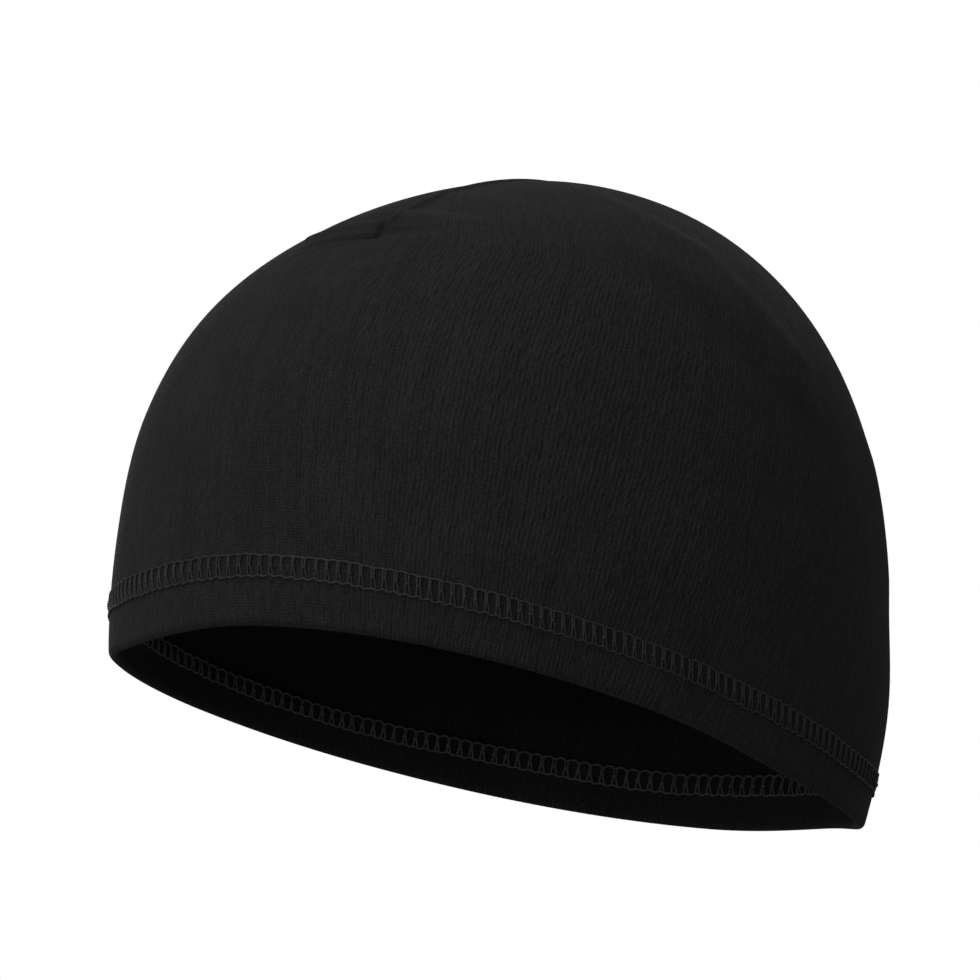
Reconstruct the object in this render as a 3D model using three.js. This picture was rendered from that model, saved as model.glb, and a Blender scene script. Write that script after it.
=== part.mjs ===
// Close-fitting jersey beanie, held as it sits on a head.
// Lengths are in millimetres, angles in degrees, +Z is up.
// The wearer faces -Y and the wearer's left is +X.
// The origin lies in the middle of the opening for the head.
import * as THREE from 'three';

// Opening at the hem's fold, measured on the outside of the cloth.
const OPENING_LENGTH = 200;
const OPENING_WIDTH = 158;
// Height of the top above the opening.
const CROWN_HEIGHT = 146;
// Power of the rounded outline of a level section; 2 is an ellipse.
const OUTLINE_POWER = 2.1;
// The opening is this share wider in front of its middle than behind it.
const FRONT_FULLNESS = 0.035;
// The top lies this far behind the middle of the opening.
const TOP_SETBACK = 4.6;
// The back of the rim sits lower than its front by this turn.
const WEAR_TURN = 11.5;

// One layer of jersey, and the gap left between two layers.
const CLOTH = 1.1;
const LAYER_GAP = 0.3;
// Height of the solid fold at the foot of the hem.
const FOLD_HEIGHT = 1.6;
// Height from the fold to the raw edge of the turned-up layer.
const FACING_HEIGHT = 17.4;

// Seam over the top: its turn from the front towards the wearer's left,
// and the height turn at which its two ends close as dart tips.
const SEAM_TURN = 28;
const DART_TURN = 46;
// Furrow along the seam: depth and half width.
const SEAM_DEPTH = 0.9;
const SEAM_HALF_WIDTH = 4.5;

// Faces around and up the shell.
const AROUND = 80;
// Share by which the columns crowd together at the seam.
const CROWDING = 0.6;
// Step used to measure slopes of the surface, in degrees.
const SLOPE_STEP = 0.25;

// Form of the crown, a row per height turn from the rim (0) to the top (90).
// front, back and side are shares of an elliptical dome's half lengths.
const CROWN_ROWS = [
  { turn: 0, front: 1.0, back: 0.988, side: 1.0 },
  { turn: 12, front: 1.07, back: 1.02, side: 1.046 },
  { turn: 25, front: 1.157, back: 1.022, side: 1.09 },
  { turn: 40, front: 1.221, back: 1.055, side: 1.17 },
  { turn: 55, front: 1.218, back: 1.073, side: 1.25 },
  { turn: 72, front: 1.168, back: 1.09, side: 1.3 },
  { turn: 90, front: 1.118, back: 1.118, side: 1.33 },
];

// Wave of the rim, a row per place around it from the front (0) over the
// wearer's left (90); rise is a share of the crown's height.
const RIM_ROWS = [
  { place: 0, rise: -0.013 },
  { place: 30, rise: 0.008 },
  { place: 60, rise: 0.012 },
  { place: 90, rise: 0.0 },
  { place: 120, rise: -0.032 },
  { place: 150, rise: -0.029 },
  { place: 180, rise: 0.009 },
  { place: 210, rise: 0.01 },
  { place: 240, rise: 0.009 },
  { place: 270, rise: 0.01 },
  { place: 300, rise: 0.013 },
  { place: 330, rise: 0.008 },
];

// Rows of faces on the hem, as shares of its height from the solid fold to the raw edge.
const HEM_SHARES = [0.33, 0.66, 1];
// Least height turn of a row of faces.
const LEAST_ROW = 1.5;
// Height turns of the rows of faces above the hem.
const ROW_TURNS = [10, 14, 18.5, 23, 27.5, 32, 36, 39, 41.5, 43.5, 45.5, 47.5, 49.5, 52, 55, 58.5, 62.5,
  67, 71.5, 76, 80.5, 85, 88];

// Puckers at a dart tip. turn and across place the middle of each fold; across, length and
// width are shares of the seam's half width, rise is a share of the seam's depth, lean is
// the fold's slope from level in degrees, positive when it climbs away from the front.
const PUCKER_ROWS = [
  { name: 'ridge in front', turn: 50.5, across: -2.9, length: 2.6, width: 0.6, rise: 1.1, lean: 4 },
  { name: 'hollow in front', turn: 47.0, across: -2.4, length: 2.4, width: 0.55, rise: -0.9, lean: 6 },
  { name: 'ridge behind', turn: 52.5, across: 2.6, length: 2.4, width: 0.6, rise: 0.8, lean: -10 },
  { name: 'hollow behind', turn: 48.5, across: 2.4, length: 2.0, width: 0.7, rise: -0.8, lean: -8 },
];

const JERSEY = { colour: 0x1c1c1d, roughness: 0.95, metalness: 0.0 };

const rad = (degrees) => (degrees * Math.PI) / 180;

// Smooth curve through the rows of a table, by the column named key.
function rowValue(rows, place, at, key, period = 0) {
  const count = rows.length;
  const spot = (i) => {
    if (period === 0) {
      return rows[Math.min(Math.max(i, 0), count - 1)];
    }
    return rows[((i % count) + count) % count];
  };
  const position = (i) => spot(i)[place] + (period === 0 ? 0 : period * Math.floor(i / count));
  let low = 0;
  while (low < count - (period === 0 ? 2 : 1) && at > position(low + 1)) {
    low += 1;
  }
  const slopeAt = (i) => {
    const before = period === 0 ? Math.max(i - 1, 0) : i - 1;
    const after = period === 0 ? Math.min(i + 1, count - 1) : i + 1;
    return (spot(after)[key] - spot(before)[key]) / (position(after) - position(before));
  };
  const span = position(low + 1) - position(low);
  const s = (at - position(low)) / span;
  const s2 = s * s;
  const s3 = s2 * s;
  return (2 * s3 - 3 * s2 + 1) * spot(low)[key] + (s3 - 2 * s2 + s) * span * slopeAt(low)
    + (-2 * s3 + 3 * s2) * spot(low + 1)[key] + (s3 - s2) * span * slopeAt(low + 1);
}

const wrapTurn = (turn) => ((turn % 360) + 360) % 360;
const signedPower = (value, power) => Math.sign(value) * Math.abs(value) ** power;

// Point of the outside of the cloth before seams and folds, in the opening's own frame.
function smoothPoint(turn, place) {
  const level = Math.cos(rad(turn));
  const lift = Math.sin(rad(turn));
  const forward = Math.cos(rad(place));
  const left = Math.sin(rad(place));
  const power = 2 / OUTLINE_POWER;
  const reach = (OPENING_LENGTH / 2) * level
    * rowValue(CROWN_ROWS, 'turn', turn, forward > 0 ? 'front' : 'back');
  const breadth = (OPENING_WIDTH / 2) * level * rowValue(CROWN_ROWS, 'turn', turn, 'side');
  const rise = CROWN_HEIGHT * rowValue(RIM_ROWS, 'place', wrapTurn(place), 'rise', 360);
  return new THREE.Vector3(
    breadth * signedPower(left, power) * (1 + FRONT_FULLNESS * (1 - lift) * forward),
    -reach * signedPower(forward, power) + TOP_SETBACK * lift * lift,
    CROWN_HEIGHT * lift + (1 - lift) * rise,
  );
}

// Outward direction of the smooth surface.
function outward(turn, place) {
  if (turn > 90 - 2 * SLOPE_STEP) {
    return new THREE.Vector3(0, 0, 1);
  }
  const low = smoothPoint(Math.max(turn - SLOPE_STEP, 0), place);
  const high = smoothPoint(turn + SLOPE_STEP, place);
  const before = smoothPoint(turn, place - SLOPE_STEP);
  const after = smoothPoint(turn, place + SLOPE_STEP);
  return after.sub(before).cross(high.sub(low)).normalize();
}

const bump = (value) => Math.exp(-value * value);

// Height of seam and puckers over the smooth surface.
function relief(turn, place) {
  const offset = wrapTurn(place - SEAM_TURN);
  const side = offset < 90 || offset > 270 ? 0 : 180;
  const swing = rad(((offset - side + 540) % 360) - 180);
  const radius = (OPENING_LENGTH / 2) * Math.cos(rad(turn));
  const across = radius * swing;
  const along = CROWN_HEIGHT * rad(turn - DART_TURN);
  const fade = 1 / (1 + Math.exp(-along / SEAM_HALF_WIDTH));
  let height = -SEAM_DEPTH * fade * bump(across / SEAM_HALF_WIDTH);
  for (const row of PUCKER_ROWS) {
    const dx = across - row.across * SEAM_HALF_WIDTH;
    const dy = CROWN_HEIGHT * rad(turn - row.turn);
    const slope = rad(row.lean);
    const run = dx * Math.cos(slope) + dy * Math.sin(slope);
    const rest = dy * Math.cos(slope) - dx * Math.sin(slope);
    height += SEAM_DEPTH * row.rise * bump(run / (row.length * SEAM_HALF_WIDTH))
      * bump(rest / (row.width * SEAM_HALF_WIDTH));
  }
  return height;
}

// Columns of faces, closer together at the seam.
const places = Array.from({ length: AROUND }, (_, i) => {
  const even = (360 * i) / AROUND;
  return SEAM_TURN + even - (CROWDING * 90 * Math.sin(rad(2 * even))) / Math.PI;
});

const wear = new THREE.Matrix4().makeRotationX(-rad(WEAR_TURN));

// Point at a depth inside the cloth's outside.
function clothPoint(turn, place, depth) {
  const point = smoothPoint(turn, place);
  point.addScaledVector(outward(turn, place), relief(turn, place) - depth);
  return point.applyMatrix4(wear);
}

// Height turn at a height above the fold.
const turnAt = (height) => (Math.asin(height / CROWN_HEIGHT) * 180) / Math.PI;
const ring = (turn, depth) => places.map((place) => clothPoint(turn, place, depth));

// Closed body from rings of points. With tips it is closed by a point at each end,
// without them the last ring joins the first.
function bodyFromRings(rings, tips) {
  const points = rings.flat();
  const faces = [];
  const spot = (row, column) => (row % rings.length) * AROUND + (column % AROUND);
  const lastRow = tips ? rings.length - 1 : rings.length;
  for (let row = 0; row < lastRow; row += 1) {
    for (let column = 0; column < AROUND; column += 1) {
      const a = spot(row, column);
      const b = spot(row, column + 1);
      const c = spot(row + 1, column + 1);
      const d = spot(row + 1, column);
      if (points[a].distanceTo(points[c]) < points[b].distanceTo(points[d])) {
        faces.push(a, c, b, a, d, c);
      } else {
        faces.push(a, d, b, b, d, c);
      }
    }
  }
  if (tips) {
    const first = points.length;
    points.push(tips[0], tips[1]);
    for (let column = 0; column < AROUND; column += 1) {
      faces.push(first, spot(0, column), spot(0, column + 1));
      faces.push(first + 1, spot(lastRow, column + 1), spot(lastRow, column));
    }
  }
  const geometry = new THREE.BufferGeometry();
  geometry.setAttribute('position', new THREE.Float32BufferAttribute(points.flatMap((p) => p.toArray()), 3));
  geometry.setIndex(faces);
  geometry.computeVertexNormals();
  return geometry;
}

function jerseyMesh(name, geometry) {
  const material = new THREE.MeshStandardMaterial({
    color: JERSEY.colour,
    roughness: JERSEY.roughness,
    metalness: JERSEY.metalness,
  });
  const mesh = new THREE.Mesh(geometry, material);
  mesh.name = name;
  return mesh;
}

// Rows of the hem up to the raw edge, then those of the wall above it.
const hemTurns = HEM_SHARES.map((share) => turnAt(FOLD_HEIGHT + share * (FACING_HEIGHT - FOLD_HEIGHT)));
const wallStart = hemTurns[hemTurns.length - 1] + LEAST_ROW;
const wallTurns = [...hemTurns, ...ROW_TURNS.filter((turn) => turn > wallStart)];
const foldDepth = 2 * CLOTH + LAYER_GAP;

// Crown: outside from the top down, round the fold, inside back up.
const crownRings = [
  ...wallTurns.slice().reverse().map((turn) => ring(turn, 0)),
  ring(turnAt(FOLD_HEIGHT / 2), 0),
  ring(0, foldDepth / 4),
  ring(0, (foldDepth * 3) / 4),
  ring(turnAt(FOLD_HEIGHT / 2), foldDepth),
  ring(turnAt(FOLD_HEIGHT), foldDepth),
  ring(turnAt(FOLD_HEIGHT), CLOTH),
  ...wallTurns.map((turn) => ring(turn, CLOTH)),
];
const crown = jerseyMesh('crown', bodyFromRings(crownRings, [clothPoint(90, 0, 0), clothPoint(90, 0, CLOTH)]));

// Turned-up layer of the hem, inside the crown's wall.
const facingTurns = [turnAt(FOLD_HEIGHT + LAYER_GAP), ...hemTurns];
const facingRings = [
  ...facingTurns.slice().reverse().map((turn) => ring(turn, CLOTH + LAYER_GAP)),
  ...facingTurns.map((turn) => ring(turn, foldDepth)),
];
const facing = jerseyMesh('hem_facing', bodyFromRings(facingRings, null));

const group = new THREE.Group();
group.name = 'beanie';
group.add(crown, facing);

export default group;
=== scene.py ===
"""Close-fitting jersey beanie, held as it sits on a head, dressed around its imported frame.

Lengths are in metres, +Z is up, the wearer faces -Y and the wearer's left is +X.
A place on the cap is given by its height turn, from the rim (0) to the top (90), and by its
place around, from the front (0) over the wearer's left (90), both in degrees.
"""

import math

import bpy
import numpy as np
from bpy.props import FloatProperty, FloatVectorProperty, IntProperty, PointerProperty
from mathutils import Matrix, Vector


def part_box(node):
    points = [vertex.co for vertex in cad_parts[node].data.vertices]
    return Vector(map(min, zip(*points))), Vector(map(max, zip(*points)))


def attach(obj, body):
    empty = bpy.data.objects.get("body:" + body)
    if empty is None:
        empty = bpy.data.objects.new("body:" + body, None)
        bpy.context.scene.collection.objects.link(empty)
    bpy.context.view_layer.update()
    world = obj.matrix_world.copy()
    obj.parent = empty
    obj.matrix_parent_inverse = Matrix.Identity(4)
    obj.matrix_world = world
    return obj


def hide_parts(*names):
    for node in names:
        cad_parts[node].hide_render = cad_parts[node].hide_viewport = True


bl_info = {
    "name": "Jersey beanie",
    "version": (1, 0, 0),
    "blender": (4, 5, 0),
    "location": "View3D > Sidebar > Beanie",
    "description": "Builds a close-fitting jersey beanie with a cover-stitched hem",
    "category": "Object",
}

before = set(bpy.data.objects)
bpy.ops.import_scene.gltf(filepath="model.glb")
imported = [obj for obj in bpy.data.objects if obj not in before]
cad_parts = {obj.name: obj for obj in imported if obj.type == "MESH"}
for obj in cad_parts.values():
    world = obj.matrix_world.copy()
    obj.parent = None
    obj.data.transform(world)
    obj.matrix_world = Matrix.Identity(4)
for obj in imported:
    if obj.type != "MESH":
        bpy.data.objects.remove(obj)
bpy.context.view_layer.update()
CROWN_LOW, CROWN_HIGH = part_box("crown")

MM = 0.001
KNIT_UV = "knit"
HEM_UV = "hem"

# Power of the rounded outline of a level section; 2 is an ellipse.
OUTLINE_POWER = 2.1
# The opening is this share wider in front of its middle than behind it.
FRONT_FULLNESS = 0.035
# Step used to measure slopes of the surface, in degrees.
SLOPE_STEP = 0.25
# Height turn of the last ring before the top, in degrees.
LAST_TURN = 89.3
# Edges sharper than this stay sharp, in degrees.
SHARP_EDGE = 50
# Share of the panels' narrowing above the dart that the wales take up by ending at the seam.
PANEL_NARROWING = 0.45
# Reach of the wales' lean up the crown, in radians of height turn.
LEAN_REACH = 0.6
# Columns are crowded at the seam by this share.
SEAM_CROWDING = 0.6

# Form of the crown, a row per height turn.
# front, back and side are shares of an elliptical dome's half lengths.
CROWN_ROWS = [
    {"turn": 0, "front": 1.0, "back": 0.988, "side": 1.0},
    {"turn": 12, "front": 1.07, "back": 1.02, "side": 1.046},
    {"turn": 25, "front": 1.157, "back": 1.022, "side": 1.09},
    {"turn": 40, "front": 1.221, "back": 1.055, "side": 1.17},
    {"turn": 55, "front": 1.218, "back": 1.073, "side": 1.25},
    {"turn": 72, "front": 1.168, "back": 1.09, "side": 1.3},
    {"turn": 90, "front": 1.118, "back": 1.118, "side": 1.33},
]

# Wave of the rim, a row per place around it; rise is a share of the crown's height.
RIM_ROWS = [
    {"place": 0, "rise": -0.013},
    {"place": 30, "rise": 0.008},
    {"place": 60, "rise": 0.012},
    {"place": 90, "rise": 0.0},
    {"place": 120, "rise": -0.032},
    {"place": 150, "rise": -0.029},
    {"place": 180, "rise": 0.009},
    {"place": 210, "rise": 0.01},
    {"place": 240, "rise": 0.009},
    {"place": 270, "rise": 0.01},
    {"place": 300, "rise": 0.013},
    {"place": 330, "rise": 0.008},
]

# Seam, creases and puckers at both ends of the seam. across is counted from the seam towards
# the back and along from the end of the dart up the seam; all columns are millimetres except
# fade, which is the share of the rise that is left at the row's far end.
FOLD_ROWS = [
    {"name": "broad hollow of the seam", "across": 0.0, "along": 9.0,
     "to_across": 0.0, "to_along": 112.0, "rise": -0.35, "width": 4.5, "fade": 1.0},
    {"name": "furrow of the seam", "across": -0.9, "along": 9.0,
     "to_across": -0.9, "to_along": 112.0, "rise": -0.3, "width": 0.8, "fade": 1.0},
    {"name": "lip of the seam", "across": 0.5, "along": 8.0,
     "to_across": 0.5, "to_along": 112.0, "rise": 1.0, "width": 1.0, "fade": 0.7},
    {"name": "ridge in front", "across": -1.0, "along": 7.5,
     "to_across": -24.0, "to_along": 5.5, "rise": 1.5, "width": 1.5, "fade": 0.45},
    {"name": "hollow above the ridge in front", "across": -3.0, "along": 13.0,
     "to_across": -26.0, "to_along": 12.0, "rise": -0.5, "width": 3.0, "fade": 0.4},
    {"name": "hollow in front", "across": 0.5, "along": 0.5,
     "to_across": -16.0, "to_along": -2.0, "rise": -1.2, "width": 1.8, "fade": 0.35},
    {"name": "thin ridge in front", "across": 2.0, "along": -2.2,
     "to_across": -18.0, "to_along": -6.0, "rise": 0.5, "width": 0.8, "fade": 0.5},
    {"name": "crease under the seam", "across": 0.6, "along": 7.0,
     "to_across": 2.0, "to_along": -1.5, "rise": -1.0, "width": 0.7, "fade": 0.6},
    {"name": "ridge behind", "across": 2.0, "along": 13.5,
     "to_across": 20.0, "to_along": 11.5, "rise": 1.2, "width": 2.4, "fade": 0.4},
    {"name": "hollow behind", "across": 3.0, "along": 3.0,
     "to_across": 14.0, "to_along": 5.0, "rise": -0.9, "width": 2.4, "fade": 0.5},
    {"name": "crease behind", "across": 2.5, "along": -0.8,
     "to_across": 15.5, "to_along": 2.9, "rise": -0.3, "width": 0.6, "fade": 0.4},
    {"name": "soft ridge high behind", "across": 2.0, "along": 32.0,
     "to_across": 21.0, "to_along": 26.0, "rise": 0.5, "width": 3.0, "fade": 0.5},
    {"name": "soft swell below", "across": 3.7, "along": -23.0,
     "to_across": 11.8, "to_along": -12.9, "rise": 0.3, "width": 4.0, "fade": 1.0},
]

# Soft swells and hollows on the left and behind, from one place on the cap to another;
# rise and width are millimetres.
SWELL_ROWS = [
    {"name": "upper ridge", "turn": 67, "place": 62, "to_turn": 57, "to_place": 91,
     "rise": 0.55, "width": 3.4},
    {"name": "lower ridge", "turn": 57, "place": 91, "to_turn": 45, "to_place": 113,
     "rise": 0.55, "width": 3.4},
    {"name": "broad hollow", "turn": 47, "place": 86, "to_turn": 36, "to_place": 112,
     "rise": -0.6, "width": 8.0},
    {"name": "swell behind", "turn": 36, "place": 142, "to_turn": 26, "to_place": 150,
     "rise": 0.8, "width": 7.0},
]

# Lean of the wales from upright low on the crown, a row per place around it; in degrees,
# positive when they climb away from the front.
WALE_ROWS = [
    {"place": 0, "lean": -6},
    {"place": 30, "lean": -9},
    {"place": 62, "lean": -1},
    {"place": 92, "lean": 7},
    {"place": 108, "lean": 11},
    {"place": 122, "lean": 17},
    {"place": 150, "lean": 9},
    {"place": 180, "lean": -3},
    {"place": 210, "lean": -8},
    {"place": 242, "lean": -1},
    {"place": 272, "lean": 7},
    {"place": 300, "lean": 11},
    {"place": 330, "lean": 4},
]

# Cover stitching, a row per place around the rim. pitch is the length of one stitch, lower
# and upper are the two rows' heights above the fold, all in millimetres. lean turns the legs
# from upright, in degrees, positive when their feet lie further around.
STITCH_ROWS = [
    {"place": 0, "pitch": 3.05, "lower": 11.1, "upper": 16.3, "lean": 0},
    {"place": 20, "pitch": 3.0, "lower": 11.2, "upper": 16.5, "lean": 0},
    {"place": 38, "pitch": 2.85, "lower": 11.4, "upper": 16.5, "lean": 2},
    {"place": 57, "pitch": 2.7, "lower": 10.6, "upper": 15.7, "lean": 4},
    {"place": 78, "pitch": 2.68, "lower": 10.0, "upper": 14.9, "lean": 8},
    {"place": 97, "pitch": 2.66, "lower": 9.7, "upper": 14.4, "lean": 10},
    {"place": 117, "pitch": 2.9, "lower": 9.9, "upper": 14.7, "lean": 10},
    {"place": 135, "pitch": 3.1, "lower": 9.0, "upper": 13.6, "lean": 6},
    {"place": 168, "pitch": 3.35, "lower": 9.3, "upper": 14.3, "lean": 0},
    {"place": 203, "pitch": 3.5, "lower": 9.8, "upper": 15.0, "lean": -2},
    {"place": 222, "pitch": 3.45, "lower": 8.9, "upper": 13.9, "lean": -2},
    {"place": 250, "pitch": 3.37, "lower": 9.1, "upper": 13.5, "lean": 0},
    {"place": 268, "pitch": 3.2, "lower": 8.1, "upper": 12.4, "lean": 0},
    {"place": 284, "pitch": 3.25, "lower": 8.1, "upper": 12.1, "lean": 0},
    {"place": 304, "pitch": 3.4, "lower": 8.7, "upper": 12.4, "lean": 0},
    {"place": 332, "pitch": 3.2, "lower": 9.9, "upper": 14.3, "lean": 0},
]

# Path of one outside stitch's threads. along is a share of the stitch, up a share of the
# band between the two rows, off the height over the cloth in thread radii.
OUTSIDE_STRANDS = [
    {"name": "upper row", "ring": True, "path": [
        {"along": 0.0, "up": 0.99, "off": 0.9},
        {"along": 0.18, "up": 0.98, "off": 1.0},
        {"along": 0.6, "up": 1.03, "off": 0.4},
    ]},
    {"name": "lower row", "ring": True, "path": [
        {"along": 0.1, "up": 0.05, "off": 0.7},
        {"along": 0.45, "up": -0.04, "off": 1.0},
        {"along": 0.8, "up": 0.0, "off": 0.6},
    ]},
    {"name": "left leg", "ring": False, "path": [
        {"along": -0.05, "up": 1.03, "off": -0.6},
        {"along": -0.03, "up": 0.9, "off": 0.9},
        {"along": 0.01, "up": 0.55, "off": 1.0},
        {"along": 0.01, "up": 0.25, "off": 0.8},
        {"along": 0.0, "up": -0.02, "off": -0.6},
    ]},
    {"name": "right leg", "ring": False, "path": [
        {"along": 0.16, "up": 1.01, "off": -0.6},
        {"along": 0.17, "up": 0.88, "off": 0.9},
        {"along": 0.18, "up": 0.55, "off": 1.1},
        {"along": 0.31, "up": 0.25, "off": 0.9},
        {"along": 0.45, "up": -0.02, "off": -0.6},
    ]},
    {"name": "tie", "ring": False, "path": [
        {"along": -0.06, "up": 0.46, "off": 0.4},
        {"along": 0.1, "up": 0.5, "off": 2.2},
        {"along": 0.26, "up": 0.47, "off": 0.4},
    ]},
]

# Path of one inside stitch's threads, in the same columns.
INSIDE_STRANDS = [
    {"name": "upper row", "ring": True, "path": [
        {"along": 0.0, "up": 0.94, "off": 0.9},
        {"along": 0.25, "up": 1.03, "off": 0.8},
        {"along": 0.5, "up": 1.08, "off": 0.7},
        {"along": 0.75, "up": 1.03, "off": 0.8},
    ]},
    {"name": "lower row", "ring": True, "path": [
        {"along": 0.0, "up": 0.02, "off": 0.9},
        {"along": 0.25, "up": -0.03, "off": 0.9},
        {"along": 0.5, "up": -0.07, "off": 0.7},
        {"along": 0.75, "up": -0.03, "off": 0.9},
    ]},
    {"name": "left leg", "ring": False, "path": [
        {"along": -0.08, "up": 1.0, "off": -0.6},
        {"along": -0.08, "up": 0.85, "off": 0.9},
        {"along": -0.07, "up": 0.5, "off": 1.1},
        {"along": -0.2, "up": 0.22, "off": 1.0},
        {"along": -0.32, "up": -0.02, "off": -0.6},
    ]},
    {"name": "right leg", "ring": False, "path": [
        {"along": 0.08, "up": 1.0, "off": -0.6},
        {"along": 0.08, "up": 0.85, "off": 0.9},
        {"along": 0.07, "up": 0.5, "off": 1.2},
        {"along": 0.1, "up": 0.22, "off": 1.0},
        {"along": 0.15, "up": -0.02, "off": -0.6},
    ]},
    {"name": "tie", "ring": False, "path": [
        {"along": -0.16, "up": 0.46, "off": 0.4},
        {"along": 0.0, "up": 0.5, "off": 2.2},
        {"along": 0.16, "up": 0.46, "off": 0.4},
    ]},
]

# Large soft lights. azimuth turns from the camera's own direction towards the picture's
# right, both angles in degrees.
LIGHT_ROWS = [
    {"name": "low_left", "azimuth": -45, "elevation": 10, "power": 4.2},
    {"name": "low_front", "azimuth": -15, "elevation": 10, "power": 5.1},
    {"name": "high_left", "azimuth": -45, "elevation": 65, "power": 11.0},
    {"name": "behind_right", "azimuth": 150, "elevation": 35, "power": 1.6},
    {"name": "behind", "azimuth": -170, "elevation": 12, "power": 7.0},
]


class BeanieForm(bpy.types.PropertyGroup):
    """Sizes of the cap."""

    opening_length: FloatProperty(
        name="Opening length", description="Front to back at the fold of the hem, outside",
        default=0.2, unit="LENGTH")
    opening_width: FloatProperty(
        name="Opening width", description="Side to side at the fold of the hem, outside",
        default=0.158, unit="LENGTH")
    crown_height: FloatProperty(
        name="Crown height", description="Height of the top above the opening",
        default=0.146, unit="LENGTH")
    top_setback: FloatProperty(
        name="Top setback", description="How far the top lies behind the middle of the opening",
        default=0.0046, unit="LENGTH")
    wear_turn: FloatProperty(
        name="Wear turn", description="Turn by which the back of the rim sits lower than its front",
        default=math.radians(11.5), subtype="ANGLE")
    cloth: FloatProperty(
        name="Cloth", description="Thickness of one layer of jersey",
        default=0.0011, unit="LENGTH")
    layer_gap: FloatProperty(
        name="Layer gap", description="Space between the two layers of the hem",
        default=0.0003, unit="LENGTH")
    fold_height: FloatProperty(
        name="Fold height", description="Height of the fold at the foot of the hem",
        default=0.0016, unit="LENGTH")
    edge_margin: FloatProperty(
        name="Edge margin", description="Cloth left between the upper stitches and the raw edge",
        default=0.0006, unit="LENGTH")
    seam_turn: FloatProperty(
        name="Seam turn", description="Turn of the seam over the top, from the front to the left",
        default=math.radians(28), subtype="ANGLE")
    dart_turn: FloatProperty(
        name="Dart turn", description="Height turn at which the seam's two ends close",
        default=math.radians(46), subtype="ANGLE")
    around: IntProperty(
        name="Faces around", description="Columns of faces around the cap",
        default=440, min=48)


class BeanieStitches(bpy.types.PropertyGroup):
    """Sizes of the cover stitching."""

    thread_radius: FloatProperty(
        name="Thread radius", description="Half the thickness of the sewing thread",
        default=0.00025, unit="LENGTH")
    steps: IntProperty(
        name="Steps a strand", description="Pieces of tube in each strand of a stitch",
        default=13, min=4)
    sides: IntProperty(
        name="Sides", description="Sides of the thread's section",
        default=6, min=3)
    seed: IntProperty(
        name="Seed", description="Start of the small differences between stitches",
        default=7)


class BeanieLooks(bpy.types.PropertyGroup):
    """Colours of the cap and the stage."""

    cloth_colour: FloatVectorProperty(
        name="Cloth colour", description="Colour of the jersey",
        subtype="COLOR", size=4, default=(0.0105, 0.0105, 0.011, 1.0))
    # Also the painted highlight that the folds' crests are lightened towards, besides the yarn's uneven tone.
    cloth_light: FloatVectorProperty(
        name="Raised cloth colour", description="Colour of the raised loops of the jersey",
        subtype="COLOR", size=4, default=(0.022, 0.022, 0.0225, 1.0))
    # Painted shade: the jersey between the two rows of stitches is darkened towards this colour.
    hem_shade: FloatVectorProperty(
        name="Hem shade", description="Colour of the jersey pressed down between the stitches",
        subtype="COLOR", size=4, default=(0.007, 0.007, 0.0072, 1.0))
    thread_dark: FloatVectorProperty(
        name="Dark thread colour", description="Colour of the sewing thread's hollows",
        subtype="COLOR", size=4, default=(0.012, 0.012, 0.0122, 1.0))
    thread_light: FloatVectorProperty(
        name="Light thread colour", description="Colour of the sewing thread's raised fibres",
        subtype="COLOR", size=4, default=(0.025, 0.025, 0.0255, 1.0))
    inner_thread_dark: FloatVectorProperty(
        name="Dark inner thread colour", description="Colour of the inside thread's hollows",
        subtype="COLOR", size=4, default=(0.05, 0.05, 0.0505, 1.0))
    inner_thread_light: FloatVectorProperty(
        name="Light inner thread colour", description="Colour of the inside thread's fibres",
        subtype="COLOR", size=4, default=(0.1, 0.1, 0.1, 1.0))
    floor_colour: FloatVectorProperty(
        name="Floor colour", description="Colour of the pale floor",
        subtype="COLOR", size=4, default=(0.86, 0.86, 0.86, 1.0))


class BeanieStage(bpy.types.PropertyGroup):
    """Camera, floor and lights."""

    azimuth: FloatProperty(
        name="Camera azimuth", description="Turn of the camera from the front to the left",
        default=math.radians(63.852), subtype="ANGLE")
    elevation: FloatProperty(
        name="Camera elevation", description="Height turn of the camera above the horizon",
        default=math.radians(-10.233), subtype="ANGLE")
    distance: FloatProperty(
        name="Camera distance", description="From the camera to the point that it looks at",
        default=0.998, unit="LENGTH")
    target_right: FloatProperty(
        name="Target right", description="Point looked at, along the camera's right",
        default=-0.00102, unit="LENGTH")
    target_up: FloatProperty(
        name="Target up", description="Point looked at, along the camera's up",
        default=0.06317, unit="LENGTH")
    lens: FloatProperty(
        name="Lens", description="Focal length in millimetres", default=145.8)
    floor_drop: FloatProperty(
        name="Floor drop", description="Height of the cap's lowest point above the floor",
        default=0.27, unit="LENGTH")
    light_size: FloatProperty(
        name="Light size", description="Side of each square light",
        default=0.8, unit="LENGTH")
    light_distance: FloatProperty(
        name="Light distance", description="From each light to the cap's middle",
        default=1.6, unit="LENGTH")
    fill_level: FloatProperty(
        name="Fill level", description="Level of the light that comes from all around",
        default=0.185)


def table_curve(rows, place, key, at, period=0.0):
    """Smooth curve through the rows of a table, by the column named key."""
    places = np.array([row[place] for row in rows], float)
    values = np.array([row[key] for row in rows], float)
    if period:
        places = np.concatenate([places[-1:] - period, places, places[:2] + period])
        values = np.concatenate([values[-1:], values, values[:2]])
    slopes = np.empty_like(values)
    slopes[1:-1] = (values[2:] - values[:-2]) / (places[2:] - places[:-2])
    slopes[0] = (values[1] - values[0]) / (places[1] - places[0])
    slopes[-1] = (values[-1] - values[-2]) / (places[-1] - places[-2])
    low = np.clip(np.searchsorted(places, at, side="right") - 1, 0, len(places) - 2)
    span = places[low + 1] - places[low]
    s = (at - places[low]) / span
    start = (2 * s ** 3 - 3 * s ** 2 + 1) * values[low]
    start = start + (s ** 3 - 2 * s ** 2 + s) * span * slopes[low]
    end = (3 * s ** 2 - 2 * s ** 3) * values[low + 1]
    end = end + (s ** 3 - s ** 2) * span * slopes[low + 1]
    return start + end


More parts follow.
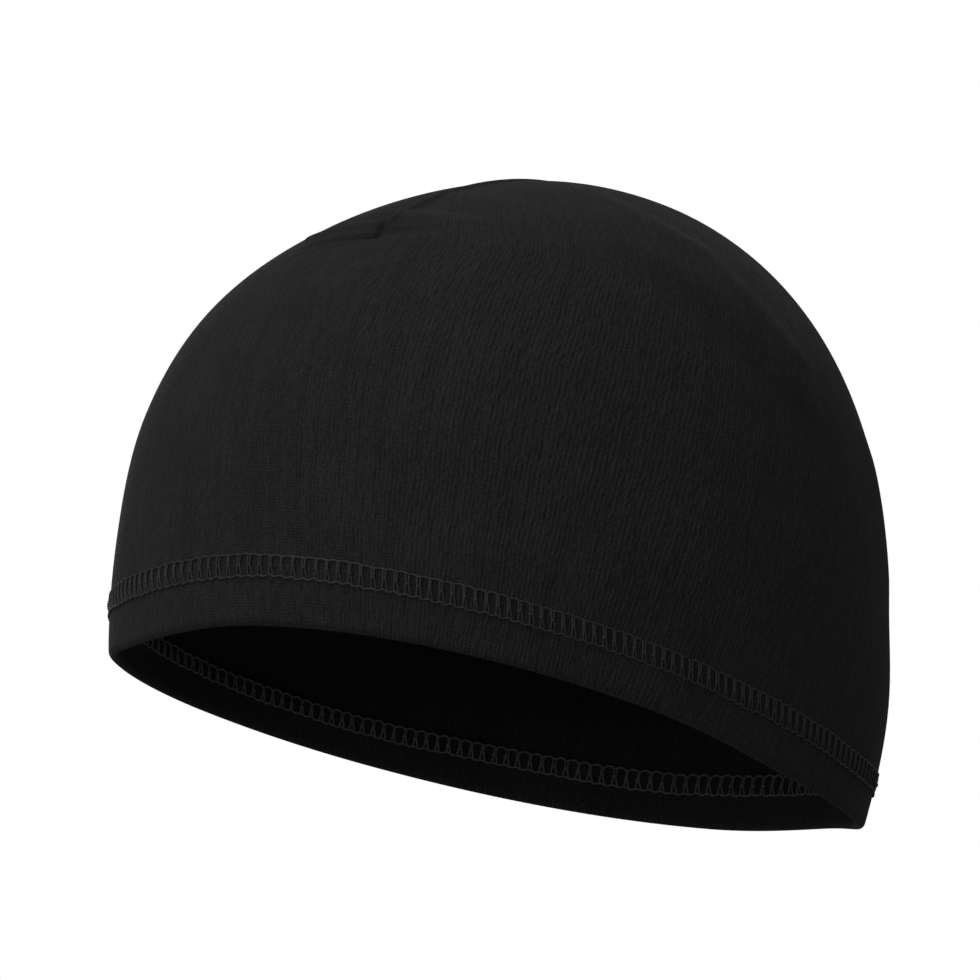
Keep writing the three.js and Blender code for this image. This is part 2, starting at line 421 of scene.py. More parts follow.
def around_curve(rows, key, place):
    """Smooth curve around the cap through the rows of a table with places."""
    return table_curve(rows, "place", key, np.asarray(place, float) % 360, 360.0)


def signed_power(value, power):
    """Power of a number's size, with the number's sign."""
    return np.sign(value) * np.abs(value) ** power


def bell(value):
    """Smooth hump of height 1 around 0."""
    return np.exp(-value ** 2)


def long_fold(x, y, start, end, width, fade):
    """Smooth fold of height 1 along a line, which sinks to a share of it at the line's end."""
    run_x = end[0] - start[0]
    run_y = end[1] - start[1]
    length = math.hypot(run_x, run_y)
    run = ((x - start[0]) * run_x + (y - start[1]) * run_y) / length
    rest = ((y - start[1]) * run_x - (x - start[0]) * run_y) / length
    within = np.clip(run, 0, length)
    beyond = run - within
    strength = 1 + (fade - 1) * within / length
    return strength * bell(rest / width) * bell(beyond / (1.5 * width))


class CapShape:
    """The cap's surface, worked out from its sizes, as in its solids."""

    def __init__(self, form):
        self.form = form
        self.seam_turn = math.degrees(form.seam_turn)
        self.dart_turn = math.degrees(form.dart_turn)
        self.fold_depth = 2 * form.cloth + form.layer_gap
        self.wear = np.array(Matrix.Rotation(-form.wear_turn, 3, "X"))

    def smooth_point(self, turn, place):
        """Outside of the cloth before seams and folds, in the opening's own frame."""
        form = self.form
        level = np.cos(np.radians(turn))
        lift = np.sin(np.radians(turn))
        forward = np.cos(np.radians(place))
        left = np.sin(np.radians(place))
        power = 2 / OUTLINE_POWER
        front = table_curve(CROWN_ROWS, "turn", "front", turn)
        back = table_curve(CROWN_ROWS, "turn", "back", turn)
        reach = form.opening_length / 2 * level * np.where(forward > 0, front, back)
        breadth = form.opening_width / 2 * level * table_curve(CROWN_ROWS, "turn", "side", turn)
        rise = form.crown_height * around_curve(RIM_ROWS, "rise", place)
        x = breadth * signed_power(left, power) * (1 + FRONT_FULLNESS * (1 - lift) * forward)
        y = -reach * signed_power(forward, power) + form.top_setback * lift ** 2
        z = form.crown_height * lift + (1 - lift) * rise
        return np.stack([x, y, z], -1)

    def outward(self, turn, place):
        """Outward direction of the smooth surface."""
        low = self.smooth_point(np.maximum(turn - SLOPE_STEP, 0), place)
        high = self.smooth_point(np.minimum(turn + SLOPE_STEP, 90), place)
        before = self.smooth_point(turn, place - SLOPE_STEP)
        after = self.smooth_point(turn, place + SLOPE_STEP)
        normal = np.cross(after - before, high - low)
        length = np.linalg.norm(normal, axis=-1, keepdims=True)
        normal = normal / np.maximum(length, 1e-12)
        at_top = (turn > 90 - 2 * SLOPE_STEP)[..., None]
        return np.where(at_top, np.array([0.0, 0.0, 1.0]), normal)

    def seam_place(self, turn, place):
        """Distance across the seam and along it past the dart's end, for the nearer end."""
        form = self.form
        offset = (place - self.seam_turn) % 360
        near = (offset < 90) | (offset > 270)
        swing = np.radians((offset - np.where(near, 0, 180) + 540) % 360 - 180)
        across = form.opening_length / 2 * np.cos(np.radians(turn)) * swing
        along = form.crown_height * np.radians(turn - self.dart_turn)
        return across * np.where(near, 1, -1), along

    def relief(self, turn, place):
        """Height of seam, creases and swells over the smooth surface."""
        form = self.form
        across, along = self.seam_place(turn, place)
        height = np.zeros_like(across)
        for row in FOLD_ROWS:
            start = (row["across"] * MM, row["along"] * MM)
            end = (row["to_across"] * MM, row["to_along"] * MM)
            fold = long_fold(across, along, start, end, row["width"] * MM, row["fade"])
            height = height + row["rise"] * MM * fold
        for row in SWELL_ROWS:
            middle = math.radians((row["turn"] + row["to_turn"]) / 2)
            reach = form.opening_length / 2 * math.cos(middle)
            x = reach * np.radians((place - row["place"] + 180) % 360 - 180)
            y = form.crown_height * np.radians(turn - row["turn"])
            end = (
                reach * math.radians(row["to_place"] - row["place"]),
                form.crown_height * math.radians(row["to_turn"] - row["turn"]),
            )
            fold = long_fold(x, y, (0.0, 0.0), end, row["width"] * MM, 1.0)
            height = height + row["rise"] * MM * fold
        return height

    def cloth_point(self, turn, place, depth):
        """Point at a depth inside the cloth's outside, in the row frame."""
        turn, place, depth = np.broadcast_arrays(
            np.asarray(turn, float), np.asarray(place, float), np.asarray(depth, float)
        )
        point = self.smooth_point(turn, place)
        height = self.relief(turn, place) - depth
        point = point + self.outward(turn, place) * height[..., None]
        return point @ self.wear.T

    def turn_at(self, height):
        """Height turn at a height above the fold."""
        return np.degrees(np.arcsin(np.asarray(height) / self.form.crown_height))

    def height_at(self, turn):
        """Height above the fold at a height turn."""
        return self.form.crown_height * np.sin(np.radians(turn))

    def stitch_rows(self, place):
        """Heights of the lower and the upper row of stitches above the fold."""
        lower = around_curve(STITCH_ROWS, "lower", place) * MM
        upper = around_curve(STITCH_ROWS, "upper", place) * MM
        return lower, upper

    def knit_place(self, turn, place, side):
        """Distances across the wales and up the courses, which turn to meet the seam squarely.

        side is 1 behind the seam and -1 in front of it.
        """
        form = self.form
        delta = np.radians((place - self.seam_turn + 180) % 360 - 180)
        rise = np.radians(turn)
        level = np.cos(rise)
        closed = math.cos(math.radians(self.dart_turn))
        narrow = np.minimum(np.maximum(level, 1e-3) / closed, 1.0) ** PANEL_NARROWING
        radius = (form.opening_length + form.opening_width) / 4
        from_middle = np.abs(delta) - math.pi / 2
        wale = (from_middle * narrow + math.pi / 2) * radius * side
        lean = np.tan(np.radians(around_curve(WALE_ROWS, "lean", place)))
        wale = wale - lean * form.crown_height * LEAN_REACH * np.tanh(rise / LEAN_REACH)
        plane = np.clip(level * np.cos(delta), -1, 1)
        beside = level * np.abs(np.sin(delta)) + 1e-9
        arch = np.sqrt(1 - plane ** 2) * np.arctan2(np.sin(rise), beside)
        blend = np.clip((turn - 30) / 35, 0, 1)
        blend = blend * blend * (3 - 2 * blend)
        course = rise * (1 - blend) + arch * blend
        return wale, course * form.crown_height

    def face_maps(self, turns, places):
        """Knit and relief coordinates of faces' corners, with a break along the seam.

        The second pair holds the folds' height in millimetres and the share of the way from
        the lower to the upper row of stitches.
        """
        offset = (places - self.seam_turn) % 360
        crosses = offset.max(axis=1) - offset.min(axis=1) > 180
        wrapped = np.where(crosses[:, None] & (offset < 180), offset + 360, offset)
        behind = wrapped.mean(axis=1) % 360 < 180
        side = np.where(behind, 1.0, -1.0)[:, None]
        wale, course = self.knit_place(turns, places, side)
        lower, upper = self.stitch_rows(places)
        up = (self.height_at(turns) - lower) / (upper - lower)
        knit = np.stack([wale, course], -1).reshape(-1, 2)
        crest = self.relief(turns, places) / MM
        hem = np.stack([crest, np.clip(up, -4, 4)], -1).reshape(-1, 2)
        return {KNIT_UV: knit, HEM_UV: hem}


def object_from_mesh(name, points, faces, maps=None):
    """New object with smooth faces; maps has a pair for each corner of each face."""
    mesh = bpy.data.meshes.new(name)
    mesh.from_pydata([tuple(p) for p in points], [], [tuple(f) for f in faces])
    for map_name, pairs in (maps or {}).items():
        layer = mesh.uv_layers.new(name=map_name)
        layer.data.foreach_set("uv", np.asarray(pairs, np.float32).ravel())
    mesh.polygons.foreach_set("use_smooth", np.ones(len(mesh.polygons), bool))
    mesh.validate()
    mesh.update()
    obj = bpy.data.objects.new(name, mesh)
    bpy.context.scene.collection.objects.link(obj)
    return obj


def ring_faces(rows, columns, closed_rows):
    """Four-sided faces between rings of points, facing out where rings run from the top down."""
    row = np.arange(rows if closed_rows else rows - 1)
    column = np.arange(columns)
    r, c = np.meshgrid(row, column, indexing="ij")
    after = (c + 1) % columns
    below = (r + 1) % rows
    corners = [
        r * columns + c,
        below * columns + c,
        below * columns + after,
        r * columns + after,
    ]
    return np.stack(corners, -1).reshape(-1, 4)


def columns_around(form):
    """Places of the columns of faces, closer together at the seam."""
    even = 360 * np.arange(form.around) / form.around
    pull = SEAM_CROWDING * 90 * np.sin(np.radians(2 * even)) / math.pi
    return math.degrees(form.seam_turn) + even - pull


def outer_turns(shape):
    """Height turns of the outside's rings, close together at the stitches and the puckers."""
    low = float(shape.turn_at(shape.form.fold_height))
    parts = [
        np.linspace(low, 7.5, 22, endpoint=False),
        np.linspace(7.5, 40, 26, endpoint=False),
        np.linspace(40, 53, 74, endpoint=False),
        np.linspace(53, 66, 26, endpoint=False),
        np.linspace(66, LAST_TURN, 22),
    ]
    return np.concatenate(parts)


def inner_turns(shape):
    """Height turns of the inside's rings."""
    low = float(shape.turn_at(shape.form.fold_height))
    return np.linspace(low + 1.0, LAST_TURN, 24)


def crown_profile(shape):
    """Rows of height turn and depth, from the top down outside, under the fold and up inside."""
    form = shape.form
    fold = shape.fold_depth
    profile = [(float(turn), 0.0) for turn in outer_turns(shape)[::-1]]
    for angle in np.linspace(0, 180, 9)[1:-1]:
        height = form.fold_height * (1 - math.sin(math.radians(angle)))
        depth = fold / 2 * (1 - math.cos(math.radians(angle)))
        profile.append((float(shape.turn_at(height)), depth))
    step = float(shape.turn_at(form.fold_height))
    profile += [(step, fold), (step, form.cloth)]
    profile += [(float(turn), form.cloth) for turn in inner_turns(shape)]
    return profile


def dressed(obj, node):
    """Puts a piece in place of its plain solid."""
    obj.data.set_sharp_from_angle(angle=math.radians(SHARP_EDGE))
    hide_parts(node)
    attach(obj, "root")


class NodeSheet:
    """Short way to add and join shader nodes."""

    def __init__(self, tree):
        self.tree = tree

    def node(self, kind, **values):
        """New node with its settings given by name."""
        made = self.tree.nodes.new(kind)
        for name, value in values.items():
            setattr(made, name, value)
        return made

    def join(self, source, target):
        """Link from an output to an input."""
        self.tree.links.new(source, target)

    def math(self, operation, first, second=None, clamp=False):
        """Result of one sum; numbers are set on the sockets and outputs are joined."""
        made = self.node("ShaderNodeMath", operation=operation, use_clamp=clamp)
        for socket, value in zip(made.inputs, (first, second)):
            if value is None:
                continue
            if isinstance(value, (int, float)):
                socket.default_value = value
            else:
                self.join(value, socket)
        return made.outputs[0]

    def noise(self, place, scale, detail, flat=True):
        """Noise at a place, on a flat map or in space."""
        made = self.node("ShaderNodeTexNoise", noise_dimensions="2D" if flat else "3D")
        made.inputs["Scale"].default_value = scale
        made.inputs["Detail"].default_value = detail
        self.join(place, made.inputs["Vector"])
        return made.outputs[0]

    def stretched(self, across, across_scale, up, up_scale):
        """Flat place with a scale of its own in each direction."""
        made = self.node("ShaderNodeCombineXYZ")
        self.join(self.math("MULTIPLY", across, across_scale), made.inputs[0])
        self.join(self.math("MULTIPLY", up, up_scale), made.inputs[1])
        return made.outputs[0]


def knit_group():
    """Node group of fine jersey: ribs of loops, courses, uneven yarn and soft streaks."""
    found = bpy.data.node_groups.get("fine_jersey")
    if found:
        return found
    group = bpy.data.node_groups.new("fine_jersey", "ShaderNodeTree")
    face = group.interface
    face.new_socket("Place", in_out="INPUT", socket_type="NodeSocketVector")
    for name, value in (("Wale pitch", 0.0009), ("Course pitch", 0.0007), ("Streaks", 0.5)):
        socket = face.new_socket(name, in_out="INPUT", socket_type="NodeSocketFloat")
        socket.default_value = value
    face.new_socket("Loops", in_out="OUTPUT", socket_type="NodeSocketFloat")
    face.new_socket("Shade", in_out="OUTPUT", socket_type="NodeSocketFloat")
    sheet = NodeSheet(group)
    inside = sheet.node("NodeGroupInput")
    outside = sheet.node("NodeGroupOutput")
    place = inside.outputs["Place"]
    split = sheet.node("ShaderNodeSeparateXYZ")
    sheet.join(place, split.inputs[0])
    up = split.outputs[1]
    wander = sheet.math("SUBTRACT", sheet.noise(place, 60.0, 2.0), 0.5)
    across = sheet.math("ADD", split.outputs[0], sheet.math("MULTIPLY", wander, 0.0012))
    wale = sheet.math("DIVIDE", across, inside.outputs["Wale pitch"])
    course = sheet.math("DIVIDE", up, inside.outputs["Course pitch"])
    rib = sheet.math("ABSOLUTE", sheet.math("SINE", sheet.math("MULTIPLY", wale, math.pi)))
    loop = sheet.math("ABSOLUTE", sheet.math("SINE", sheet.math("MULTIPLY", course, math.pi)))
    fine = sheet.math("SUBTRACT", sheet.noise(sheet.stretched(across, 1100.0, up, 260.0), 1.0, 3.0), 0.5)
    coarse = sheet.math("SUBTRACT", sheet.noise(sheet.stretched(across, 520.0, up, 22.0), 1.0, 1.0), 0.5)
    cloud = sheet.math("SUBTRACT", sheet.noise(place, 55.0, 2.0), 0.5)
    height = sheet.math("ADD", sheet.math("MULTIPLY", rib, 0.4), sheet.math("MULTIPLY", loop, 0.22))
    height = sheet.math("ADD", height, sheet.math("MULTIPLY", fine, 1.7))
    sheet.join(height, outside.inputs["Loops"])
    uneven = sheet.math("ADD", fine, sheet.math("MULTIPLY", coarse, 0.6))
    uneven = sheet.math("ADD", uneven, sheet.math("MULTIPLY", cloud, 0.5))
    grain = sheet.math("SUBTRACT", sheet.noise(place, 1500.0, 2.0), 0.5)
    uneven = sheet.math("ADD", uneven, sheet.math("MULTIPLY", grain, 1.8))
    shade = sheet.math("MULTIPLY", uneven, inside.outputs["Streaks"])
    shade = sheet.math("ADD", shade, sheet.math("MULTIPLY", rib, 0.16))
    shade = sheet.math("ADD", shade, sheet.math("MULTIPLY", loop, 0.1))
    sheet.join(sheet.math("ADD", shade, 0.25, clamp=True), outside.inputs["Shade"])
    return group


def relief_and_band(sheet):
    """Height of the folds, for their painted highlight and shade, and mask of the painted shade between the two
    rows of stitches.
    """
    hem = sheet.node("ShaderNodeUVMap", uv_map=HEM_UV)
    split = sheet.node("ShaderNodeSeparateXYZ")
    sheet.join(hem.outputs[0], split.inputs[0])
    centred = sheet.math("ABSOLUTE", sheet.math("SUBTRACT", split.outputs[1], 0.5))
    band = sheet.math("MULTIPLY", sheet.math("SUBTRACT", 0.62, centred), 6.0, clamp=True)
    return split.outputs[0], band


def jersey_material(name, looks, streaks, roughness):
    """Matt black jersey with a painted highlight on the folds' crests and painted shade in their hollows and
    between the stitches.
    """
    material = bpy.data.materials.new(name)
    material.use_nodes = True
    sheet = NodeSheet(material.node_tree)
    shader = material.node_tree.nodes["Principled BSDF"]
    shader.inputs["Roughness"].default_value = roughness
    shader.inputs["Specular IOR Level"].default_value = 0.12
    shader.inputs["Sheen Weight"].default_value = 0.03
    shader.inputs["Sheen Roughness"].default_value = 0.45
    shader.inputs["Sheen Tint"].default_value = (0.8, 0.8, 0.82, 1.0)
    place = sheet.node("ShaderNodeUVMap", uv_map=KNIT_UV)
    knit = sheet.node("ShaderNodeGroup", node_tree=knit_group())
    knit.inputs["Streaks"].default_value = streaks
    sheet.join(place.outputs[0], knit.inputs["Place"])
    colour = sheet.node("ShaderNodeMix", data_type="RGBA")
    colour.inputs["A"].default_value = looks.cloth_colour
    colour.inputs["B"].default_value = looks.cloth_light
    crest, band = relief_and_band(sheet)
    # Painted highlight on the folds' crests and painted shade in their hollows, taken from the folds' height.
    painted_fold_shading = sheet.math("MULTIPLY", crest, 0.6)
    sheet.join(sheet.math("ADD", knit.outputs["Shade"], painted_fold_shading, clamp=True), colour.inputs["Factor"])
    # Painted shade on the jersey between the two rows of stitches.
    painted_shade = sheet.node("ShaderNodeMix", data_type="RGBA")
    painted_shade.inputs["B"].default_value = looks.hem_shade
    sheet.join(sheet.math("MULTIPLY", band, 0.2), painted_shade.inputs["Factor"])
    sheet.join(colour.outputs["Result"], painted_shade.inputs["A"])
    sheet.join(painted_shade.outputs["Result"], shader.inputs["Base Color"])
    bump = sheet.node("ShaderNodeBump")
    bump.inputs["Strength"].default_value = 1.0
    bump.inputs["Distance"].default_value = 0.00028
    sheet.join(knit.outputs["Loops"], bump.inputs["Height"])
    sheet.join(bump.outputs[0], shader.inputs["Normal"])
    return material


def thread_material(name, dark, light):
    """Black sewing thread, a little lighter and smoother than the jersey."""
    found = bpy.data.materials.get(name)
    if found:
        return found
    material = bpy.data.materials.new(name)
    material.use_nodes = True
    sheet = NodeSheet(material.node_tree)
    shader = material.node_tree.nodes["Principled BSDF"]
    shader.inputs["Roughness"].default_value = 0.6
    shader.inputs["Specular IOR Level"].default_value = 0.25
    shader.inputs["Sheen Weight"].default_value = 0.05
    where = sheet.node("ShaderNodeTexCoord")
    fuzz = sheet.noise(where.outputs["Object"], 2500.0, 3.0, flat=False)
    colour = sheet.node("ShaderNodeMix", data_type="RGBA")
    colour.inputs["A"].default_value = dark
    colour.inputs["B"].default_value = light
    sheet.join(fuzz, colour.inputs["Factor"])
    sheet.join(colour.outputs["Result"], shader.inputs["Base Color"])
    bump = sheet.node("ShaderNodeBump")
    bump.inputs["Strength"].default_value = 0.4
    bump.inputs["Distance"].default_value = 0.0001
    sheet.join(fuzz, bump.inputs["Height"])
    sheet.join(bump.outputs[0], shader.inputs["Normal"])
    return material


class BEANIE_OT_crown(bpy.types.Operator):
    """Builds the crown: the jersey from the hem's fold to the top, with its seam and puckers"""

    bl_idname = "beanie.crown"
    bl_label = "Crown"

    def execute(self, context):
        shape = CapShape(context.scene.beanie_form)
        places = columns_around(context.scene.beanie_form)
        profile = crown_profile(shape)
        count = len(places)
        rings = [shape.cloth_point(turn, places, depth) for turn, depth in profile]
        first = len(rings) * count
        tops = [[shape.cloth_point(90.0, 0.0, depth)] for depth in (profile[0][1], profile[-1][1])]
        points = np.concatenate(rings + tops)
        quads = ring_faces(len(rings), count, False)
        column = np.arange(count)
        after = (column + 1) % count
        last = first - count
        outside = np.stack([np.full(count, first), column, after], -1)
        inside = np.stack([np.full(count, first + 1), last + after, last + column], -1)
        corner_turns = np.repeat([turn for turn, depth in profile], count)
        corner_places = np.tile(places, len(profile))
        maps = shape.face_maps(corner_turns[quads], corner_places[quads])
        for faces in (outside, inside):
            ends = faces[:, 1:]
            turns = np.column_stack([np.full(count, 90.0), corner_turns[ends]])
            around = np.column_stack([corner_places[ends[:, 0]], corner_places[ends]])
            more = shape.face_maps(turns, around)
            maps = {name: np.concatenate([maps[name], more[name]]) for name in maps}
        faces = quads.tolist() + outside.tolist() + inside.tolist()
        obj = object_from_mesh("crown_cloth", points, faces, maps)
        looks = context.scene.beanie_looks
        obj.data.materials.append(jersey_material("jersey_outside", looks, 1.0, 0.9))
        dressed(obj, "crown")
        return {"FINISHED"}


class BEANIE_OT_hem_facing(bpy.types.Operator):
    """Builds the layer of jersey that is turned up inside the rim, with its raw edge"""

    bl_idname = "beanie.hem_facing"
    bl_label = "Hem facing"

    def execute(self, context):
        form = context.scene.beanie_form
        shape = CapShape(form)
        places = columns_around(form)
        lower, upper = shape.stitch_rows(places)
        edge = upper + form.edge_margin
        back = form.cloth + form.layer_gap
        shares = np.linspace(0, 1, 20)
        profile = [(share, back) for share in shares[::-1]]
        profile += [(share, shape.fold_depth) for share in shares]
        turns = []
        rings = []
        for share, depth in profile:
            turn = shape.turn_at(form.fold_height + share * (edge - form.fold_height))
            turns.append(turn)
            rings.append(shape.cloth_point(turn, places, depth))
        faces = ring_faces(len(rings), len(places), True)
        corner_turns = np.concatenate(turns)
        corner_places = np.tile(places, len(profile))
        maps = shape.face_maps(corner_turns[faces], corner_places[faces])
        obj = object_from_mesh("hem_facing_cloth", np.concatenate(rings), faces.tolist(), maps)
        looks = context.scene.beanie_looks
        obj.data.materials.append(jersey_material("jersey_inside", looks, 0.8, 0.85))
        dressed(obj, "hem_facing")
        return {"FINISHED"}


def closed_curve(rows, key, at):
    """Smooth curve through a stitch's points that repeats with every stitch."""
    return table_curve(rows, "along", key, at % 1.0, 1.0)


def open_curve(rows, key, at):
    """Smooth curve through a strand's points, from 0 to 1 along it."""
    numbered = [{"step": i / (len(rows) - 1), key: row[key]} for i, row in enumerate(rows)]
    return table_curve(numbered, "step", key, at)


def tube(line, normals, radius, sides, closed):
    """Points and faces of a thread along a line of points."""
    if closed:
        ahead = np.roll(line, -1, 0) - np.roll(line, 1, 0)
    else:
        ahead = np.gradient(line, axis=0)
    ahead = ahead / np.linalg.norm(ahead, axis=1, keepdims=True)
    across = np.cross(ahead, normals)
    across = across / np.linalg.norm(across, axis=1, keepdims=True)
    up = np.cross(across, ahead)
    angles = 2 * math.pi * np.arange(sides) / sides
    spread = np.cos(angles)[None, :, None] * across[:, None]
    lifted = np.sin(angles)[None, :, None] * up[:, None]
    points = line[:, None] + radius * (spread + lifted)
    faces = ring_faces(len(line), sides, closed).tolist()
    if not closed:
        total = len(line) * sides
        faces.append(list(range(sides)))
        faces.append(list(range(total - 1, total - sides - 1, -1)))
    return points.reshape(-1, 3), faces


class StitchRing:
    """Ring of cover stitches on one face of the hem."""

    def __init__(self, shape, stitches, depth, side, seed):
        self.shape = shape
        self.stitches = stitches
        self.depth = depth
        self.side = side
        self.random = np.random.default_rng(seed)
        self.fine = np.linspace(0, 360, 2881)
        lower, upper = shape.stitch_rows(self.fine)
        line = shape.cloth_point(shape.turn_at((lower + upper) / 2), self.fine, 0.0)
        pitch = around_curve(STITCH_ROWS, "pitch", self.fine) * MM
        step = np.linalg.norm(np.diff(line, axis=0), axis=1)
        number = np.concatenate([[0], np.cumsum(2 * step / (pitch[1:] + pitch[:-1]))])
        self.count = int(round(number[-1]))
        self.number = number * self.count / number[-1]

    def place_of(self, along):
        """Place around the cap of a number of stitches."""
        return np.interp(along % self.count, self.number, self.fine)

    def point(self, along, up, off):
        """Point of a thread and the outward direction; along counts stitches around the ring."""
        place = self.place_of(along)
        lower, upper = self.shape.stitch_rows(place)
        lean = np.tan(np.radians(around_curve(STITCH_ROWS, "lean", place)))
        pitch = around_curve(STITCH_ROWS, "pitch", place) * MM
        place = self.place_of(along + lean * (upper - lower) * (1 - up) / pitch)
        turn = self.shape.turn_at(lower + up * (upper - lower))
        depth = self.depth - self.side * off * self.stitches.thread_radius
        point = self.shape.cloth_point(turn, place, depth)
        normal = self.shape.outward(turn, place) @ self.shape.wear.T * self.side
        return point, normal

    def lines(self, strand):
        """Lines of one kind of strand, each with the outward direction along it."""
        steps = self.stitches.steps
        rows = strand["path"]
        if strand["ring"]:
            at = np.arange(self.count * steps) / steps
            wobble = self.random.normal(0, 0.025, self.count)
            up = closed_curve(rows, "up", at)
            up = up + np.interp(at, np.arange(self.count), wobble, period=self.count)
            yield self.point(at, up, closed_curve(rows, "off", at))
            return
        at = np.linspace(0, 1, steps + 1)
        along = open_curve(rows, "along", at)
        up = open_curve(rows, "up", at)
        off = open_curve(rows, "off", at)
        for stitch in range(self.count):
            sway = self.random.normal(0, 0.03, 2)
            yield self.point(stitch + along + sway[0] + sway[1] * (1 - at), up, off)

    def threads(self, strands):
        """Points and faces of all the strands of the ring."""
        radius = self.stitches.thread_radius
        sides = self.stitches.sides
        points = []
        faces = []
        total = 0
        for strand in strands:
            for line, normals in self.lines(strand):
                new_points, new_faces = tube(line, normals, radius, sides, strand["ring"])
                points.append(new_points)
                faces.extend([corner + total for corner in face] for face in new_faces)
                total += len(new_points)
        return np.concatenate(points), faces


def build_stitches(context, name, strands, depth, side, seed, material):
    """Makes one ring of stitches as one object of threads."""
    shape = CapShape(context.scene.beanie_form)
    ring = StitchRing(shape, context.scene.beanie_stitches, depth, side, seed)
    obj = object_from_mesh(name, *ring.threads(strands))
    obj.data.materials.append(material)
    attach(obj, "root")


class BEANIE_OT_cover_stitches(bpy.types.Operator):
    """Builds the two rings of cover stitches, the ladder outside and the ladder inside"""

    bl_idname = "beanie.cover_stitches"
    bl_label = "Cover stitches"

    def execute(self, context):
        seed = context.scene.beanie_stitches.seed
        inside = CapShape(context.scene.beanie_form).fold_depth
        looks = context.scene.beanie_looks
        needle = thread_material("outside_thread", looks.thread_dark, looks.thread_light)
        looper = thread_material("inside_thread", looks.inner_thread_dark, looks.inner_thread_light)
        build_stitches(context, "cover_stitch_outside", OUTSIDE_STRANDS, 0.0, 1.0, seed, needle)
        build_stitches(context, "cover_stitch_inside", INSIDE_STRANDS, inside, -1.0, seed + 1, looper)
        return {"FINISHED"}


def look_axes(stage):
    """The camera's right, up and back directions."""
    turn = stage.azimuth
    rise = stage.elevation
    right = Vector((math.cos(turn), math.sin(turn), 0))
    back = Vector((math.sin(turn) * math.cos(rise), -math.cos(turn) * math.cos(rise), math.sin(rise)))
    return right, back.cross(right), back


def build_camera(context, stage):
    """Camera at the photograph's viewing angle."""
    right, up, back = look_axes(stage)
    target = right * stage.target_right + up * stage.target_up
    data = bpy.data.cameras.new("camera")
    data.lens = stage.lens
    data.sensor_width = 36.0
    data.sensor_fit = "HORIZONTAL"
    obj = bpy.data.objects.new("camera", data)
    turn = Matrix((right, up, back)).transposed().to_4x4()
    obj.matrix_world = Matrix.Translation(target + back * stage.distance) @ turn
    context.scene.collection.objects.link(obj)
    context.scene.camera = obj


def build_lights(context, stage):
    """Large soft lights around the cap."""
    right, up, back = look_axes(stage)
    level = Vector((back.x, back.y, 0)).normalized()
    middle = (CROWN_LOW + CROWN_HIGH) / 2
    for row in LIGHT_ROWS:
        turn = math.radians(row["azimuth"])
        rise = math.radians(row["elevation"])
        away = (level * math.cos(turn) + right * math.sin(turn)) * math.cos(rise)
        away = away + Vector((0, 0, math.sin(rise)))
        data = bpy.data.lights.new(row["name"], "AREA")
        data.energy = row["power"]
        data.size = stage.light_size
        obj = bpy.data.objects.new(row["name"], data)
        obj.location = middle + away * stage.light_distance
        obj.rotation_mode = "QUATERNION"
        obj.rotation_quaternion = (-away).to_track_quat("-Z", "Y")
        context.scene.collection.objects.link(obj)


def build_floor(stage, looks):
    """Wide pale floor under the cap, which keeps its light from the cap."""
    height = CROWN_LOW.z - stage.floor_drop
    reach = 6.0
    points = [(-reach, -reach, height), (reach, -reach, height), (reach, reach, height), (-reach, reach, height)]
    obj = object_from_mesh("floor", points, [(0, 1, 2, 3)])
    material = bpy.data.materials.new("pale_floor")
    material.use_nodes = True
    shader = material.node_tree.nodes["Principled BSDF"]
    shader.inputs["Base Color"].default_value = looks.floor_colour
    shader.inputs["Roughness"].default_value = 0.9
    obj.data.materials.append(material)
    obj.visible_diffuse = False
    obj.visible_glossy = False


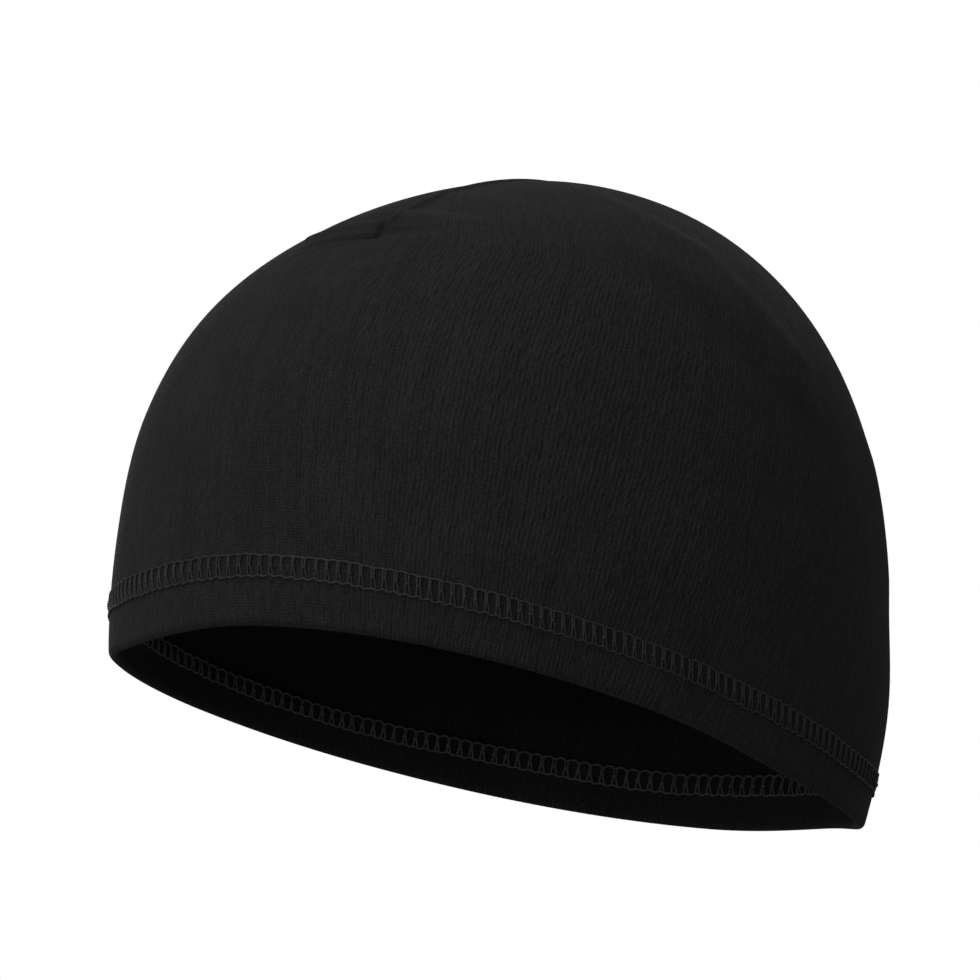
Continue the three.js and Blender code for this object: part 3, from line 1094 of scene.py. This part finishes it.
def build_world(context, stage):
    """Surroundings that the camera sees as white and that light the cap softly."""
    world = bpy.data.worlds.new("white_surroundings")
    world.use_nodes = True
    sheet = NodeSheet(world.node_tree)
    shade = world.node_tree.nodes["Background"]
    shade.inputs["Color"].default_value = (1, 1, 1, 1)
    shade.inputs["Strength"].default_value = stage.fill_level
    seen = sheet.node("ShaderNodeBackground")
    seen.inputs["Color"].default_value = (1, 1, 1, 1)
    seen.inputs["Strength"].default_value = 1.0
    path = sheet.node("ShaderNodeLightPath")
    mix = sheet.node("ShaderNodeMixShader")
    sheet.join(path.outputs["Is Camera Ray"], mix.inputs[0])
    sheet.join(shade.outputs[0], mix.inputs[1])
    sheet.join(seen.outputs[0], mix.inputs[2])
    sheet.join(mix.outputs[0], world.node_tree.nodes["World Output"].inputs["Surface"])
    context.scene.world = world


class BEANIE_OT_stage(bpy.types.Operator):
    """Builds the pale floor, the white surroundings, the soft lights and the camera"""

    bl_idname = "beanie.stage"
    bl_label = "Stage"

    def execute(self, context):
        stage = context.scene.beanie_stage
        build_camera(context, stage)
        build_floor(stage, context.scene.beanie_looks)
        build_world(context, stage)
        build_lights(context, stage)
        context.scene.view_settings.view_transform = "Standard"
        return {"FINISHED"}


class BEANIE_PT_panel(bpy.types.Panel):
    """Lists the steps that build the beanie"""

    bl_idname = "BEANIE_PT_panel"
    bl_label = "Beanie"
    bl_space_type = "VIEW_3D"
    bl_region_type = "UI"
    bl_category = "Beanie"

    def draw(self, context):
        for step in STEPS:
            self.layout.operator(step.bl_idname)


STEPS = (
    BEANIE_OT_crown,
    BEANIE_OT_hem_facing,
    BEANIE_OT_cover_stitches,
    BEANIE_OT_stage,
)
GROUPS = {
    "beanie_form": BeanieForm,
    "beanie_stitches": BeanieStitches,
    "beanie_looks": BeanieLooks,
    "beanie_stage": BeanieStage,
}


def register():
    """Adds the property groups, operators and panel to Blender."""
    for name, group in GROUPS.items():
        bpy.utils.register_class(group)
        setattr(bpy.types.Scene, name, PointerProperty(type=group))
    for step in STEPS:
        bpy.utils.register_class(step)
    bpy.utils.register_class(BEANIE_PT_panel)


def unregister():
    """Takes them out again."""
    bpy.utils.unregister_class(BEANIE_PT_panel)
    for step in reversed(STEPS):
        bpy.utils.unregister_class(step)
    for name, group in GROUPS.items():
        delattr(bpy.types.Scene, name)
        bpy.utils.unregister_class(group)


def main():
    """Builds every piece and the stage."""
    register()
    bpy.ops.beanie.crown()
    bpy.ops.beanie.hem_facing()
    bpy.ops.beanie.cover_stitches()
    bpy.ops.beanie.stage()


if __name__ == "__main__":
    main()
